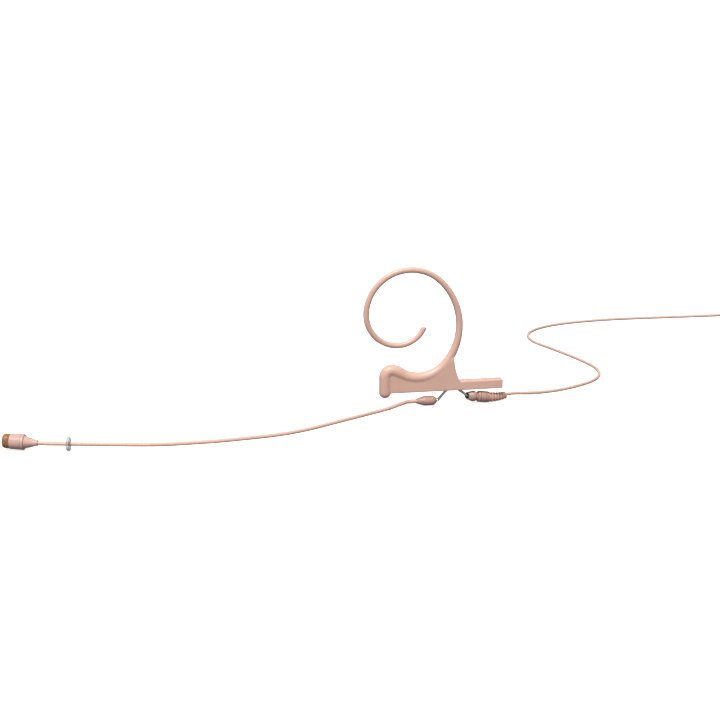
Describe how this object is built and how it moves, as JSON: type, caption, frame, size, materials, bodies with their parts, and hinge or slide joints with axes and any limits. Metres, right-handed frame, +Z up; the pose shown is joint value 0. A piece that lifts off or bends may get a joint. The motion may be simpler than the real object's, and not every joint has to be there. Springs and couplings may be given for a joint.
{
  "type": "headset microphone",
  "caption": "Single-ear headset microphone: spiral ear hook on a slotted base, slim bent boom with a miniature capsule, ribbed cable relief, thin coiled cable and threaded plug.",
  "frame": {"origin": "middle of the footprint of everything but the free cable, on the surface it stands on", "axes": "+X along the ear mount's base, away from the capsule; +Y away from the side the boom bows to; +Z up"},
  "size_m": [0.3403, 0.1451, 0.0527],
  "materials": {
    "skin_plastic": "satin moulded plastic",
    "skin_dark": "satin moulded plastic, browner",
    "skin_jacket": "thin extruded jacket",
    "skin_paint": "satin skin-tone paint",
    "skin_rubber": "soft moulded strain relief",
    "skin_cable": "thin cable jacket",
    "bronze_grid": "perforated bronze",
    "felt": "fine felt disc",
    "steel_rod": "drawn stainless rod",
    "spring_steel": "spring wire",
    "acetal": "natural acetal",
    "lead_enamel": "enamelled fine wire",
    "brass": "turned brass",
    "film": "thin metallised film",
    "insulator": "white fluoropolymer",
    "circuit_board": "bare circuit board",
    "black_plastic": "moulded package",
    "tie_fabric": "woven hook-and-loop strap",
    "plug_metal": "nickel plated, knurled",
    "gold_pin": "gold plated contact",
    "clear_silicone": "clear soft silicone"
  },
  "bodies": {
    "boom_assembly": {"slide_rod": "steel_rod", "rod_lead": "lead_enamel", "boom_ferrule": "skin_dark", "boom_jacket": "skin_jacket", "boom_tube": "steel_rod", "boom_lead": "lead_enamel", "capsule_cone": "skin_paint", "capsule_housing": "skin_paint", "capsule_can": "brass", "diaphragm_ring": "brass", "diaphragm": "film", "diaphragm_spacer": "film", "backplate": "brass", "backplate_insulator": "insulator", "preamp_board": "circuit_board", "preamp_transistor": "black_plastic", "relief_nose": "skin_dark", "contact_sleeve": "brass", "relief_collar": "skin_dark", "crimp_tube": "brass", "relief_boot": "skin_rubber", "cable": "skin_cable", "cable_coil": "skin_cable", "cable_tail": "skin_cable", "cable_tie": "tie_fabric", "plug_boot": "skin_rubber", "plug_crimp": "plug_metal", "plug_body": "plug_metal", "plug_insulator": "insulator", "plug_pin": "gold_pin", "plug_snap_ring": "spring_steel"},
    "clip": {"grip_clip": "acetal"},
    "ear_piece": {"ear_mount": "skin_plastic", "hook_core": "spring_steel"},
    "grid_cap": {"protection_grid": "bronze_grid", "grid_felt": "felt"},
    "sweat_ring": {"moisture_ring": "clear_silicone"},
    "coupling_nut": {"plug_nut": "plug_metal"}
  },
  "joints": [
    {"name": "clip_turn", "type": "hinge", "parent": "boom_assembly", "child": "clip", "pos_m": [0.06998, 0.01594, 0.0065], "axis": [1, 0, 0], "range_deg": [-20, 20]},
    {"name": "mount_slide", "type": "slide", "parent": "clip", "child": "ear_piece", "axis": [1, 0, 0], "range_m": [-0.01, 0.008]},
    {"name": "grid_pull", "type": "slide", "parent": "boom_assembly", "child": "grid_cap", "axis": [-0.9614, 0.2724, 0.0401], "range_m": [0, 0.005]},
    {"name": "ring_slide", "type": "slide", "parent": "boom_assembly", "child": "sweat_ring", "axis": [-0.9817, 0.1904, 0.0049], "range_m": [-0.008, 0.005]},
    {"name": "nut_spin", "type": "hinge", "parent": "boom_assembly", "child": "coupling_nut", "pos_m": [0.24591, 0.07564, 0.0028], "axis": [0, -1, 0], "continuous": true}
  ]
}
